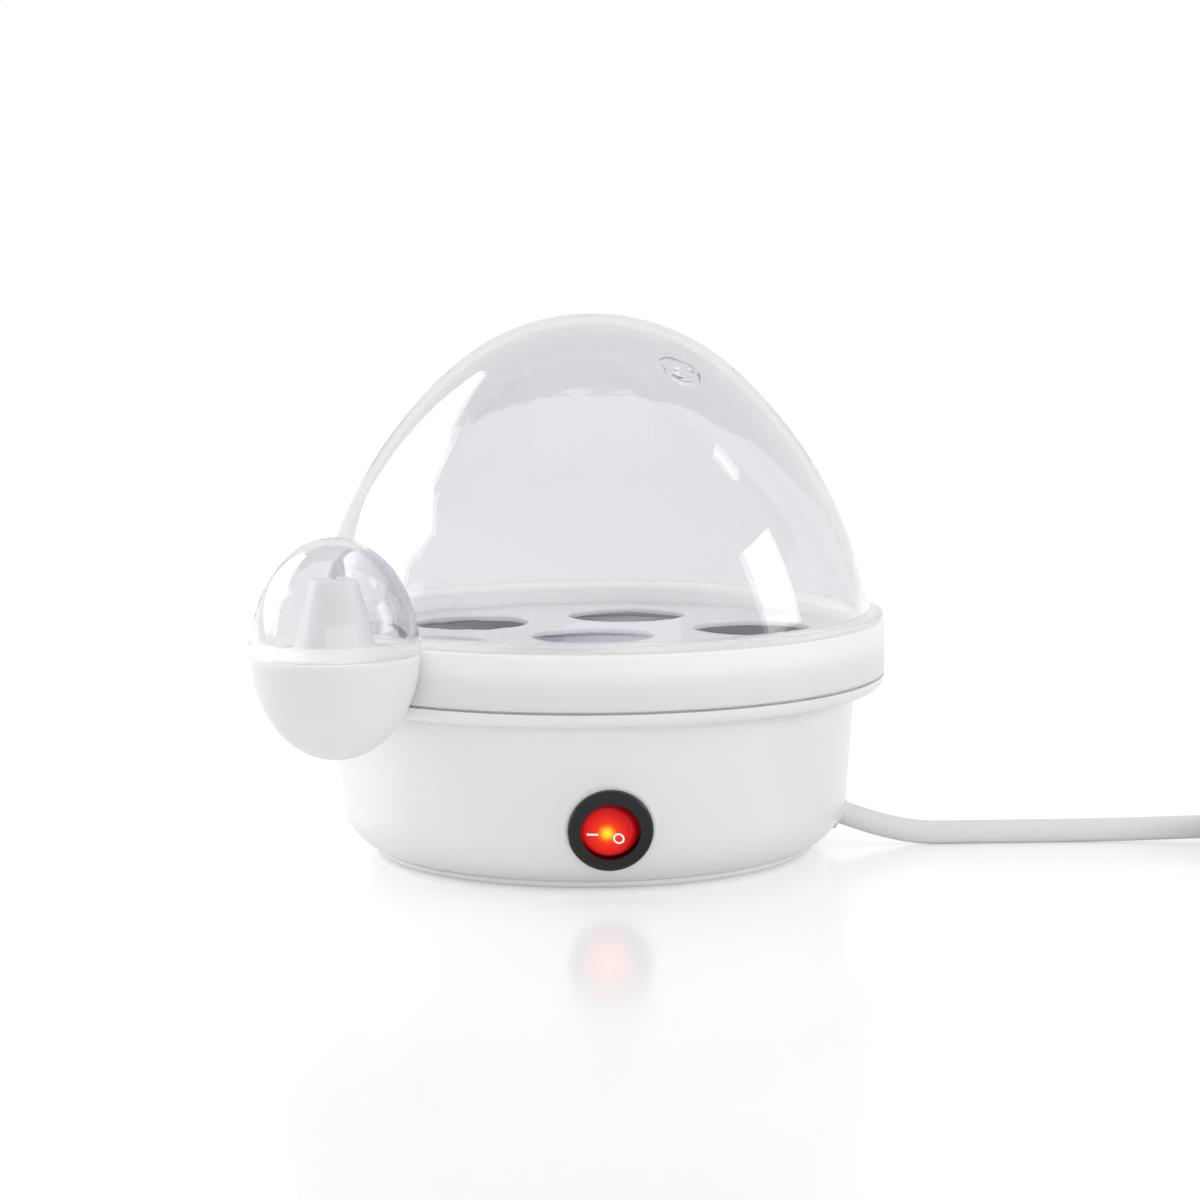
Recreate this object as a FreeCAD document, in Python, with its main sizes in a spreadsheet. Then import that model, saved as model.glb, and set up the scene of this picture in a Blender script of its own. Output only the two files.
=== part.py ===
import FreeCAD, Part
import math
import operator
import os
import types

import Sketcher

# Electric egg cooker for seven eggs, in millimetres.
# The origin is on the axis of the base, level with the table. +Z is up and the switch faces -Y.

DIMENSIONS = {
    # Tray rim, deck and egg holes
    "ring_radius": 84.2,
    "ring_wall": 2.7,
    "ring_top": 67.0,
    "parting_height": 51.1,
    "shadow_gap": 0.8,
    "deck_top": 61.2,
    "deck_thickness": 1.8,
    "hole_radius": 18.0,
    "hole_flare": 1.2,
    "hole_pitch": 50.0,
    "hole_edge": 0.5,
    # Lid
    "lid_wall": 2.8,
    "dome_apex": 154.4,
    "dome_top_radius": 61.1,
    "dome_side_radius": 125.6,
    "dome_split_angle": 41.6,
    "flange_height": 2.0,
    "flange_round": 1.2,
    "lip_depth": 1.8,
    "vent_angle": 42.6,
    "vent_hole_radius": 2.2,
    "vent_boss_radius": 7.5,
    "vent_boss_height": 0.9,
    # Half-egg grips and piercer
    "grip_direction": 225.0,
    "grip_distance": 102.0,
    "grip_radius": 22.3,
    "grip_rise": 30.6,
    "bead_height": 3.6,
    "grip_drop": 28.3,
    "grip_wall": 2.6,
    "cap_wall": 2.0,
    "piercer_seat": 2.0,
    "piercer_base_radius": 11.3,
    "piercer_top_radius": 6.2,
    "piercer_height": 19.5,
    "piercer_wall": 1.6,
    "needle_radius": 0.6,
    # Base housing
    "housing_wall": 2.4,
    "wall_top_radius": 75.63,
    "wall_top_height": 46.6,
    "wall_low_radius": 73.4,
    "wall_low_height": 15.3,
    "corner_radius": 15.0,
    "housing_bottom": 2.7,
    "collar_round": 3.5,
    "collar_thickness": 3.9,
    "lip_radius": 81.0,
    "lip_wall": 2.4,
    "lip_height": 5.9,
    "ledge_radius": 67.5,
    "ledge_top": 50.2,
    "boss_radius": 4.0,
    "boss_distance": 55.0,
    "boss_bottom": 5.6,
    "boss_top": 26.0,
    "screw_radius": 1.45,
    # Bottom cover and feet
    "cover_radius": 64.0,
    "cover_bottom": 0.6,
    "spigot_radius": 62.0,
    "foot_radius": 6.0,
    "foot_height": 1.8,
    "foot_distance": 48.0,
    # Heating dish, spreader and element
    "dish_floor": 42.0,
    "dish_floor_radius": 58.0,
    "dish_mouth_radius": 65.0,
    "dish_rim_radius": 74.5,
    "dish_sheet": 0.8,
    "seal_height": 1.2,
    "spreader_radius": 53.0,
    "spreader_thickness": 3.0,
    "element_radius": 40.0,
    "element_tube_radius": 3.25,
    "element_height": 36.4,
    "element_gap_direction": 30.0,
    "element_gap_half_angle": 20.0,
    "element_bend": 8.0,
    "element_end_height": 22.0,
    "stud_distance": 49.0,
    "stud_radius": 2.0,
    "frame_height": 28.5,
    "frame_sheet": 1.5,
    # Rocker switch
    "switch_height": 18.6,
    "switch_distance": 73.2,
    "switch_tilt": 12.5,
    "bezel_radius": 11.5,
    "bezel_height": 2.2,
    "barrel_radius": 9.9,
    "barrel_depth": 13.0,
    "well_radius": 8.0,
    "well_depth": 7.2,
    "well_lip": 1.0,
    "rocker_room": 8.95,
    "rocker_radius": 8.8,
    "rocker_pivot": -4.5,
    "rocker_face": 1.2,
    "rocker_swing": 20.0,
    "rocker_dip": 5.0,
    "trunnion_radius": 1.2,
    "trunnion_clearance": 0.05,
    "lamp_radius": 1.6,
    # Mains lead
    "cord_diameter": 6.8,
    "exit_radius": 71.2,
    "exit_height": 9.1,
    "exit_direction": -7.5,
    "exit_slope": 26.0,
    "coil_centre_x": 213.0,
    "coil_centre_y": -58.2,
    "coil_outer_radius": 41.6,
    "coil_step": 7.8,
    "coil_lift": 4.3,
    "coil_tail": 24.0,
    "tie_sheet": 0.8,
    "tie_width": 8.0,
    # Plug
    "plug_radius": 18.5,
    "plug_height": 20.0,
    "plug_boss_length": 22.0,
    "plug_pin_radius": 2.4,
    "plug_pin_length": 19.0,
    "plug_pin_spacing": 19.0,
}

doc = FreeCAD.newDocument("EggCooker")
sheet = doc.addObject("Spreadsheet::Sheet", "Dimensions")
for row, (alias, number) in enumerate(DIMENSIONS.items(), 1):
    sheet.set(f"A{row}", alias.replace("_", " "))
    sheet.set(f"B{row}", str(number))
    sheet.setAlias(f"B{row}", alias)
doc.recompute()

X_AXIS = FreeCAD.Vector(1, 0, 0)
Y_AXIS = FreeCAD.Vector(0, 1, 0)
Z_AXIS = FreeCAD.Vector(0, 0, 1)
OPERATIONS = {"+": operator.add, "-": operator.sub, "*": operator.mul, "/": operator.truediv}


class Size:
    """A number together with the sheet expression that it comes from."""

    def __init__(self, number, text):
        self.number = number
        self.text = text

    def __add__(self, other):
        return combined(self, "+", other)

    def __radd__(self, other):
        return combined(other, "+", self)

    def __sub__(self, other):
        return combined(self, "-", other)

    def __rsub__(self, other):
        return combined(other, "-", self)

    def __mul__(self, other):
        return combined(self, "*", other)

    def __rmul__(self, other):
        return combined(other, "*", self)

    def __truediv__(self, other):
        return combined(self, "/", other)

    def __neg__(self):
        return combined(-1, "*", self)


def as_size(value):
    if isinstance(value, Size):
        return value
    return Size(float(value), f"({float(value)})")


def combined(left, sign, right):
    left = as_size(left)
    right = as_size(right)
    return Size(OPERATIONS[sign](left.number, right.number), f"({left.text} {sign} {right.text})")


def root(value):
    return Size(math.sqrt(value.number), f"sqrt({value.text})")


def sine(angle):
    return Size(math.sin(math.radians(angle.number)), f"sin({angle.text} * 1 deg)")


def cosine(angle):
    return Size(math.cos(math.radians(angle.number)), f"cos({angle.text} * 1 deg)")


def tangent(angle):
    return Size(math.tan(math.radians(angle.number)), f"tan({angle.text} * 1 deg)")


dims = types.SimpleNamespace(
    **{name: Size(value, f"Dimensions.{name}") for name, value in DIMENSIONS.items()}
)


def bind(item, **values):
    """Give properties their numbers, and their sheet expressions where they have one."""
    for name, value in values.items():
        value = as_size(value)
        setattr(item, name, value.number)
        if "Dimensions" in value.text:
            item.setExpression(name, value.text)


def place(item, x=0, y=0, z=0, turn=None):
    """Put an item at a bound position, with an optional fixed rotation."""
    where = [as_size(value) for value in (x, y, z)]
    base = FreeCAD.Vector(*[value.number for value in where])
    item.Placement = FreeCAD.Placement(base, turn or FreeCAD.Rotation())
    for axis, value in zip("xyz", where):
        if "Dimensions" in value.text:
            item.setExpression(f"Placement.Base.{axis}", value.text)
    return item


def about_z(degrees):
    return FreeCAD.Rotation(Z_AXIS, degrees)


def place_round(item, degrees, x=0, y=0, z=0):
    """Put an item at a position that is turned round the base's axis together with the item."""
    angle = as_size(degrees)
    x = as_size(x)
    y = as_size(y)
    return place(
        item,
        x * cosine(angle) - y * sine(angle),
        x * sine(angle) + y * cosine(angle),
        z,
        about_z(angle.number),
    )


def box(name, length, width, height):
    item = doc.addObject("Part::Box", name)
    bind(item, Length=length, Width=width, Height=height)
    return item


def cylinder(name, radius, height):
    item = doc.addObject("Part::Cylinder", name)
    bind(item, Radius=radius, Height=height)
    return item


def cone(name, low_radius, high_radius, height):
    item = doc.addObject("Part::Cone", name)
    bind(item, Radius1=low_radius, Radius2=high_radius, Height=height)
    return item


def ellipsoid(name, radius, half_height, low_angle, high_angle):
    item = doc.addObject("Part::Ellipsoid", name)
    bind(item, Radius1=half_height, Radius2=radius, Radius3=radius, Angle1=low_angle, Angle2=high_angle)
    return item


def fused(name, items):
    item = doc.addObject("Part::MultiFuse", name)
    item.Shapes = items
    return item


def cut(name, base, tool):
    item = doc.addObject("Part::Cut", name)
    item.Base = base
    item.Tool = tool
    return item


def common(name, items):
    item = doc.addObject("Part::MultiCommon", name)
    item.Shapes = items
    return item


def grouped(name, items):
    item = doc.addObject("Part::Compound", name)
    item.Links = items
    return item


def plane_of(body, role):
    return next(item for item in body.Origin.OriginFeatures if item.Role == role)


def draw_loop(sketch, points, centres):
    """Draw a closed loop. A side whose index has a centre is the shorter arc about it."""
    corners = [FreeCAD.Vector(x.number, y.number, 0) for x, y in points]
    sides = []
    rules = []
    texts = {}
    first_rule = sketch.ConstraintCount

    def add_rule(text, *parts):
        if text:
            texts[first_rule + len(rules)] = text
        rules.append(Sketcher.Constraint(*parts))

    for index, start in enumerate(corners):
        end = corners[(index + 1) % len(corners)]
        if index not in centres:
            sides.append((sketch.addGeometry(Part.LineSegment(start, end)), 1, 2))
            continue
        centre = FreeCAD.Vector(centres[index][0].number, centres[index][1].number, 0)
        from_angle = math.atan2(start.y - centre.y, start.x - centre.x)
        to_angle = math.atan2(end.y - centre.y, end.x - centre.x)
        forward = (to_angle - from_angle) % (2 * math.pi) < math.pi
        circle = Part.Circle(centre, Z_AXIS, start.distanceToPoint(centre))
        span = (from_angle, to_angle) if forward else (to_angle, from_angle)
        arc = sketch.addGeometry(Part.ArcOfCircle(circle, *span))
        sides.append((arc, 1, 2) if forward else (arc, 2, 1))
    for index, (side, _, end) in enumerate(sides):
        following = sides[(index + 1) % len(sides)]
        add_rule("", "Coincident", side, end, following[0], following[1])
    for (side, start, _), (x, y) in zip(sides, points):
        for kind, value, axis in (("DistanceX", x, -2), ("DistanceY", y, -1)):
            if value.number == 0:
                add_rule("", "PointOnObject", side, start, axis)
            else:
                add_rule(value.text, kind, side, start, value.number)
    for index, (x, y) in centres.items():
        start = points[index]
        radius = root((start[0] - x) * (start[0] - x) + (start[1] - y) * (start[1] - y))
        add_rule(radius.text, "Radius", sides[index][0], radius.number)
    sketch.addConstraint(rules)
    for rule, text in texts.items():
        if "Dimensions" in text:
            sketch.setExpression(f"Constraints[{rule}]", text)


def sketched_body(name, role, points, centres):
    body = doc.addObject("PartDesign::Body", name)
    sketch = body.newObject("Sketcher::SketchObject", name + "_profile")
    sketch.AttachmentSupport = [(plane_of(body, role), "")]
    sketch.MapMode = "FlatFace"
    draw_loop(sketch, [(as_size(x), as_size(y)) for x, y in points], centres)
    return body, sketch


def turned(name, points, centres=None):
    """A body made by turning a closed half profile of (radius, height) points about the Z axis."""
    body, sketch = sketched_body(name, "XZ_Plane", points, centres or {})
    turn = body.newObject("PartDesign::Revolution", name + "_turn")
    turn.Profile = sketch
    turn.ReferenceAxis = (sketch, ["V_Axis"])
    turn.Angle = 360
    return body


def padded(name, role, points, depth, centres=None):
    """A body made by padding a closed profile to both sides of an origin plane."""
    body, sketch = sketched_body(name, role, points, centres or {})
    pad = body.newObject("PartDesign::Pad", name + "_pad")
    pad.Profile = sketch
    pad.SideType = "Symmetric"
    bind(pad, Length=depth)
    return body


def ring(name, inner, outer, low, high):
    return turned(name, [(inner, low), (outer, low), (outer, high), (inner, high)])


def disc(name, radius, low, high):
    return turned(name, [(0, low), (radius, low), (radius, high), (0, high)])


nodes = {}


def node(name, item):
    """Keep an item as the sub-part of that name."""
    item.Label = name
    nodes[name] = item
    return item


def shape_node(name, shape):
    item = doc.addObject("Part::Feature", name + "_shape")
    item.Shape = shape
    item.Placement = FreeCAD.Placement()
    return node(name, item)


# Tubes along straight runs and tangent arcs

RUN_SHARE = 0.45


def rounded_path(points):
    """Edges of the straight runs and the largest even arcs between them, and the arcs' radii."""
    edges = []
    radii = []
    last = points[0]
    for before, corner, after in zip(points, points[1:], points[2:]):
        arriving = (corner - before).normalize()
        leaving = (after - corner).normalize()
        reach = RUN_SHARE * min(before.distanceToPoint(corner), corner.distanceToPoint(after))
        half_turn = arriving.getAngle(leaving) / 2
        radii.append(reach / math.tan(half_turn))
        start = corner - arriving * reach
        end = corner + leaving * reach
        inward = (leaving - arriving).normalize()
        middle = corner + inward * (radii[-1] / math.cos(half_turn) - radii[-1])
        edges.append(Part.LineSegment(last, start).toShape())
        edges.append(Part.Arc(start, middle, end).toShape())
        last = end
    edges.append(Part.LineSegment(last, points[-1]).toShape())
    return edges, radii


def tube(edges, radius):
    """A round solid along edges that join smoothly."""
    path = Part.Wire(edges)
    start = edges[0].valueAt(edges[0].FirstParameter)
    heading = edges[0].tangentAt(edges[0].FirstParameter)
    section = Part.Wire([Part.Circle(start, heading, radius).toShape()])
    solid = path.makePipeShell([section], True, False)
    share = solid.Volume / (math.pi * radius**2 * path.Length)
    print(f"tube of {path.Length:.1f} mm, volume over section times length {share:.4f}")
    return solid


def sheet_number(name):
    return float(sheet.get(name))


# Base housing and what is fixed in its walls

BOSS_ANGLES = (50, 170, 290)
ARM_ANGLES = (90, 210, 330)
FOOT_ANGLES = (5, 95, 185, 275)
BUSH_NECK = 4.6
BUSH_FLANGE = 6.2
BUSH_FLANGE_OUT = -4.5
BUSH_INNER_END = -19.1
switch_turn = FreeCAD.Rotation(X_AXIS, 90 + sheet_number("switch_tilt"))
exit_heading = FreeCAD.Rotation(Z_AXIS, sheet_number("exit_direction")).multVec(
    FreeCAD.Rotation(Y_AXIS, sheet_number("exit_slope")).multVec(X_AXIS)
)
exit_turn = FreeCAD.Rotation(Z_AXIS, exit_heading)


def place_in_switch(item, x=0, y=0, z=0):
    """Put an item at a point of the switch: x to the right, y up the wall, z out of the wall."""
    up = cosine(dims.switch_tilt)
    out = sine(dims.switch_tilt)
    y = as_size(y)
    z = as_size(z)
    return place(
        item,
        x,
        -dims.switch_distance - y * out - z * up,
        dims.switch_height + y * up - z * out,
        switch_turn,
    )


def place_at_exit(item, along=0):
    """Put an item on the line on which the lead leaves the wall."""
    level = (dims.exit_radius + as_size(along) * cosine(dims.exit_slope))
    return place(
        item,
        level * cosine(dims.exit_direction),
        level * sine(dims.exit_direction),
        dims.exit_height - as_size(along) * sine(dims.exit_slope),
        exit_turn,
    )


def make_housing():
    rise = dims.wall_top_height - dims.wall_low_height
    spread = dims.wall_top_radius - dims.wall_low_radius
    slant = root(rise * rise + spread * spread)
    centre_r = dims.wall_low_radius - dims.corner_radius * rise / slant
    centre_z = dims.wall_low_height + dims.corner_radius * spread / slant
    inner_round = dims.corner_radius - dims.housing_wall
    edge_drop = centre_z - dims.housing_bottom
    edge_radius = centre_r + root(dims.corner_radius * dims.corner_radius - edge_drop * edge_drop)
    mouth_radius = dims.spigot_radius + 0.4
    mouth_reach = mouth_radius - centre_r
    mouth_height = centre_z - root(inner_round * inner_round - mouth_reach * mouth_reach)
    inner_r = centre_r + inner_round * rise / slant
    inner_z = centre_z - inner_round * spread / slant
    ledge_bottom = dims.ledge_top - dims.housing_wall
    collar_low = dims.parting_height - dims.collar_thickness
    collar_inner = dims.ring_radius - dims.collar_round
    lip_top = dims.parting_height + dims.lip_height
    lip_inner = dims.lip_radius - dims.lip_wall
    shell = turned(
        "housing_shell",
        [
            (edge_radius, dims.housing_bottom),
            (dims.wall_low_radius, dims.wall_low_height),
            (dims.wall_top_radius, dims.wall_top_height),
            (collar_inner, collar_low),
            (dims.ring_radius, collar_low + dims.collar_round),
            (dims.ring_radius, dims.parting_height),
            (dims.lip_radius, dims.parting_height),
            (dims.lip_radius, lip_top),
            (lip_inner, lip_top),
            (lip_inner, dims.ledge_top),
            (dims.ledge_radius, dims.ledge_top),
            (dims.ledge_radius, ledge_bottom),
            (inner_r + (ledge_bottom - inner_z) * spread / rise, ledge_bottom),
            (inner_r, inner_z),
            (mouth_radius, mouth_height),
            (mouth_radius, dims.housing_bottom),
        ],
        {
            0: (centre_r, centre_z),
            3: (collar_inner, collar_low + dims.collar_round),
            13: (centre_r, centre_z),
        },
    )
    pad_depth = 4.0
    pad = cylinder("switch_pad", dims.bezel_radius + 0.7, pad_depth)
    added = [shell, place_in_switch(pad, z=-pad_depth)]
    removed = [
        place_in_switch(cylinder("switch_opening", dims.barrel_radius + 0.1, 20), z=-12),
        place_in_switch(cylinder("bezel_face", dims.bezel_radius + 0.2, 5)),
    ]
    rib_low = 18.0
    rib_width = 2.0
    for angle in BOSS_ANGLES:
        boss = cylinder(f"boss_{angle}", dims.boss_radius, dims.boss_top - dims.boss_bottom)
        added.append(place_round(boss, angle, dims.boss_distance, 0, dims.boss_bottom))
        rib_length = dims.wall_low_radius - dims.boss_distance - 0.5
        rib = box(f"rib_{angle}", rib_length, rib_width, dims.boss_top - rib_low)
        added.append(place_round(rib, angle, dims.boss_distance, -rib_width / 2, rib_low))
        pilot = cylinder(f"pilot_{angle}", dims.screw_radius, 14)
        removed.append(place_round(pilot, angle, dims.boss_distance, 0, dims.boss_bottom))
    removed.append(place_at_exit(cylinder("cord_opening", BUSH_NECK + 0.1, 16), -8))
    removed.append(place_at_exit(cylinder("bush_face", BUSH_FLANGE + 0.2, 12), BUSH_FLANGE_OUT - 12))
    node("base_housing", cut("housing", fused("housing_added", added), fused("housing_removed", removed)))


def make_cord_bush():
    """A sleeve clamped on the lead, tapered inwards, flared at its nose, flanged behind the wall."""
    bore = dims.cord_diameter / 2
    flange_in = BUSH_FLANGE_OUT - 3
    inner_radius = 4.1
    nose_start = 0.3
    nose_end = 0.9
    nose_radius = 4.2
    flare = 0.25
    flare_start = -1.6
    bush = turned(
        "bush",
        [
            (bore, BUSH_INNER_END),
            (inner_radius, BUSH_INNER_END),
            (BUSH_NECK, flange_in),
            (BUSH_FLANGE, flange_in),
            (BUSH_FLANGE, BUSH_FLANGE_OUT),
            (BUSH_NECK, BUSH_FLANGE_OUT),
            (BUSH_NECK, nose_start),
            (nose_radius, nose_end),
            (bore + flare, nose_end),
            (bore, flare_start),
        ],
    )
    node("cord_bush", place_at_exit(bush))


def make_bottom_cover():
    top = dims.housing_bottom
    spigot_top = 5.0
    spigot_wall = 1.8
    chamfer = 0.7
    groove = 0.4
    plate = turned(
        "cover_plate",
        [
            (0, dims.cover_bottom),
            (dims.cover_radius - chamfer, dims.cover_bottom),
            (dims.cover_radius, dims.cover_bottom + chamfer),
            (dims.cover_radius, top - groove),
            (dims.cover_radius - groove, top),
            (dims.spigot_radius, top),
            (dims.spigot_radius, spigot_top),
            (dims.spigot_radius - spigot_wall, spigot_top),
            (dims.spigot_radius - spigot_wall, top),
            (0, top),
        ],
    )
    head_seat = 3.2
    added = [plate]
    removed = []
    screws = []
    for angle in BOSS_ANGLES:
        post = cylinder(f"post_{angle}", dims.boss_radius + 0.4, dims.boss_bottom - dims.cover_bottom)
        added.append(place_round(post, angle, dims.boss_distance, 0, dims.cover_bottom))
        recess = cylinder(f"recess_{angle}", dims.screw_radius + 1.9, head_seat - dims.cover_bottom)
        removed.append(place_round(recess, angle, dims.boss_distance, 0, dims.cover_bottom))
        clearance = cylinder(f"clearance_{angle}", dims.screw_radius + 0.25, 6)
        removed.append(place_round(clearance, angle, dims.boss_distance, 0, dims.cover_bottom))
        head = cylinder(f"head_{angle}", dims.screw_radius + 1.5, 1.8)
        shank = cylinder(f"shank_{angle}", dims.screw_radius, 12)
        place_round(head, angle, dims.boss_distance, 0, head_seat - 1.8)
        place_round(shank, angle, dims.boss_distance, 0, head_seat - 0.2)
        screws.append(fused(f"screw_{angle}", [head, shank]))
    feet = []
    for angle in FOOT_ANGLES:
        seat = cylinder(f"foot_seat_{angle}", dims.foot_radius + 0.2, dims.foot_height - dims.cover_bottom)
        removed.append(place_round(seat, angle, dims.foot_distance, 0, dims.cover_bottom))
        foot = cone(f"foot_{angle}", dims.foot_radius - 0.5, dims.foot_radius, dims.foot_height)
        feet.append(place_round(foot, angle, dims.foot_distance))
    node("bottom_cover", cut("cover", fused("cover_added", added), fused("cover_removed", removed)))
    node("cover_screws", grouped("screws", screws))
    node("rubber_feet", grouped("feet", feet))


# Heating dish, element and safety parts

ELEMENT_PIN = 6.0


def make_heating_plate():
    rim_low = dims.ledge_top + dims.seal_height
    rim_top = rim_low + dims.dish_sheet
    floor_low = dims.dish_floor - dims.dish_sheet
    lean = 0.5
    node(
        "heating_plate",
        turned(
            "dish",
            [
                (0, dims.dish_floor),
                (dims.dish_floor_radius, dims.dish_floor),
                (dims.dish_mouth_radius, rim_top),
                (dims.dish_rim_radius, rim_top),
                (dims.dish_rim_radius, rim_low),
                (dims.dish_mouth_radius + lean, rim_low),
                (dims.dish_floor_radius + lean, floor_low),
                (0, floor_low),
            ],
        ),
    )
    node(
        "plate_seal",
        ring("seal", dims.ledge_radius + 1, dims.dish_rim_radius - 0.5, dims.ledge_top, rim_low),
    )


def element_edges():
    """The element's centre line: one end, the open ring, and the other end."""
    radius = sheet_number("element_radius")
    level = sheet_number("element_height")
    bend = sheet_number("element_bend")
    low = sheet_number("element_end_height")
    gap = math.radians(sheet_number("element_gap_direction"))
    half = math.radians(sheet_number("element_gap_half_angle"))

    def end_points(angle, side):
        corner = FreeCAD.Vector(radius * math.cos(angle), radius * math.sin(angle), level)
        away = FreeCAD.Vector(math.sin(angle), -math.cos(angle), 0) * side
        share = bend * math.sin(math.pi / 4)
        middle = corner + away * share - Z_AXIS * (bend - share)
        bent = corner + away * bend - Z_AXIS * bend
        return corner, middle, bent, FreeCAD.Vector(bent.x, bent.y, low)

    first, first_middle, first_bent, first_end = end_points(gap + half, 1)
    last, last_middle, last_bent, last_end = end_points(gap - half, -1)
    far = FreeCAD.Vector(-radius * math.cos(gap), -radius * math.sin(gap), level)
    edges = [
        Part.LineSegment(first_end, first_bent).toShape(),
        Part.Arc(first_bent, first_middle, first).toShape(),
        Part.Arc(first, far, last).toShape(),
        Part.Arc(last, last_middle, last_bent).toShape(),
        Part.LineSegment(last_bent, last_end).toShape(),
    ]
    return edges, first_end, last_end


def make_element():
    edges, first_end, last_end = element_edges()
    element = shape_node("heating_element", tube(edges, sheet_number("element_tube_radius")))
    pin_radius = 1.4
    pins = []
    for index, end in enumerate((first_end, last_end)):
        pin = cylinder(f"element_pin_{index}", pin_radius, ELEMENT_PIN)
        pins.append(place(pin, end.x, end.y, dims.element_end_height - ELEMENT_PIN))
    node("element_pins", grouped("element_pin_pair", pins))
    spreader_top = dims.dish_floor - dims.dish_sheet
    spreader_low = spreader_top - dims.spreader_thickness
    blank = disc("spreader_blank", dims.spreader_radius, spreader_low, spreader_top)
    node("heat_spreader", cut("spreader", blank, element))
    return first_end, last_end


def make_plate_fixings():
    stud_top = dims.dish_floor - dims.dish_sheet - dims.spreader_thickness
    stud_low = 24.5
    frame_top = dims.frame_height + dims.frame_sheet
    arm_width = 12.0
    arm_reach = 71.0
    nut_height = 3.2
    nut_radius = 4.04
    hub_half_width = 4.0
    added = [
        ring(
            "frame_hub",
            dims.stud_distance - hub_half_width,
            dims.stud_distance + hub_half_width,
            dims.frame_height,
            frame_top,
        )
    ]
    removed = []
    studs = []
    nuts = []
    ledge_bottom = dims.ledge_top - dims.housing_wall
    for angle in ARM_ANGLES:
        arm = box(f"arm_{angle}", arm_reach - dims.stud_distance, arm_width, dims.frame_sheet)
        added.append(place_round(arm, angle, dims.stud_distance, -arm_width / 2, dims.frame_height))
        upright = box(f"upright_{angle}", dims.frame_sheet, arm_width, ledge_bottom - dims.frame_height)
        upright_start = arm_reach - dims.frame_sheet
        added.append(place_round(upright, angle, upright_start, -arm_width / 2, dims.frame_height))
        opening = cylinder(f"stud_opening_{angle}", dims.stud_radius + 0.2, 4)
        removed.append(place_round(opening, angle, dims.stud_distance, 0, dims.frame_height - 1))
        stud = cylinder(f"stud_{angle}", dims.stud_radius, stud_top - stud_low)
        studs.append(place_round(stud, angle, dims.stud_distance, 0, stud_low))
        blank = doc.addObject("Part::Prism", f"nut_blank_{angle}")
        blank.Polygon = 6
        bind(blank, Circumradius=nut_radius, Height=nut_height)
        place_round(blank, angle, dims.stud_distance, 0, dims.frame_height - nut_height)
        bore = cylinder(f"nut_bore_{angle}", dims.stud_radius, nut_height)
        place_round(bore, angle, dims.stud_distance, 0, dims.frame_height - nut_height)
        nuts.append(cut(f"nut_{angle}", blank, bore))
    node("holding_frame", cut("frame", fused("frame_added", added), fused("frame_removed", removed)))
    node("plate_studs", grouped("studs", studs))
    node("stud_nuts", grouped("nuts", nuts))


THERMOSTAT_LOW = 26.0
THERMOSTAT_BLADE = 9.0
THERMOSTAT_SPACING = 4.0


def make_thermostat():
    top = dims.dish_floor - dims.dish_sheet - dims.spreader_thickness
    cap_low = top - 3.8
    body_radius = 7.6
    cap_radius = 8.2
    node(
        "thermostat",
        turned(
            "thermostat_can",
            [
                (0, THERMOSTAT_LOW),
                (body_radius, THERMOSTAT_LOW),
                (body_radius, cap_low),
                (cap_radius, cap_low),
                (cap_radius, top),
                (0, top),
            ],
        ),
    )
    width = 20.0
    half_length = 18.0
    sheet_height = 0.8
    foot = 1.5
    bar = box("bracket_bar", width, 2 * half_length, sheet_height)
    near = box("bracket_near", width, foot, top - cap_low)
    far = box("bracket_far", width, foot, top - cap_low)
    place(bar, -width / 2, -half_length, cap_low - sheet_height)
    place(near, -width / 2, -half_length, cap_low)
    place(far, -width / 2, half_length - foot, cap_low)
    opening = place(cylinder("bracket_opening", body_radius + 0.1, 4), 0, 0, cap_low - 2)
    node("thermostat_bracket", cut("bracket", fused("bracket_added", [bar, near, far]), opening))
    blades = []
    blade_sheet = 0.8
    blade_width = 6.3
    for side in (-1, 1):
        blade = box(f"thermostat_blade_{side + 1}", blade_sheet, blade_width, THERMOSTAT_BLADE)
        x = side * THERMOSTAT_SPACING - blade_sheet / 2
        blades.append(place(blade, x, -blade_width / 2, THERMOSTAT_LOW - THERMOSTAT_BLADE))
    node("thermostat_terminals", grouped("thermostat_blades", blades))


FUSE_X = 24.0
FUSE_START = -17.0
FUSE_LENGTH = 13.0
FUSE_RADIUS = 2.0
SLEEVE_RADIUS = 3.0


def make_thermal_fuse():
    contact = dims.dish_floor - dims.dish_sheet - dims.spreader_thickness
    level = contact - SLEEVE_RADIUS
    along_y = FreeCAD.Rotation(X_AXIS, -90)
    fuse = cylinder("fuse_can", FUSE_RADIUS, FUSE_LENGTH)
    node("thermal_fuse", place(fuse, FUSE_X, FUSE_START, level, along_y))
    blank = place(cylinder("sleeve_blank", SLEEVE_RADIUS, FUSE_LENGTH), FUSE_X, FUSE_START, level, along_y)
    bore = place(cylinder("sleeve_bore", FUSE_RADIUS, FUSE_LENGTH), FUSE_X, FUSE_START, level, along_y)
    node("fuse_sleeve", cut("sleeve", blank, bore))
    strap = SLEEVE_RADIUS + 0.8
    strap_width = 6.0
    strap_start = FUSE_START + (FUSE_LENGTH - strap_width) / 2

    def arch(name, radius):
        round_part = cylinder(name + "_round", radius, strap_width)
        place(round_part, FUSE_X, strap_start, level, along_y)
        legs = box(name + "_legs", 2 * radius, strap_width, SLEEVE_RADIUS)
        below = box(name + "_below", 2 * radius, strap_width, radius)
        place(legs, FUSE_X - radius, strap_start, level)
        place(below, FUSE_X - radius, strap_start, level - radius)
        return fused(name, [common(name + "_half", [round_part, below]), legs])

    node("fuse_clip", cut("clip", arch("strap_outer", strap), arch("strap_inner", SLEEVE_RADIUS)))


# Rocker switch

SWITCH_BLADES = (-5, 0, 5)
BLADE_LENGTH = 8.0
RIM_ROUND = 0.5


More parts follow.
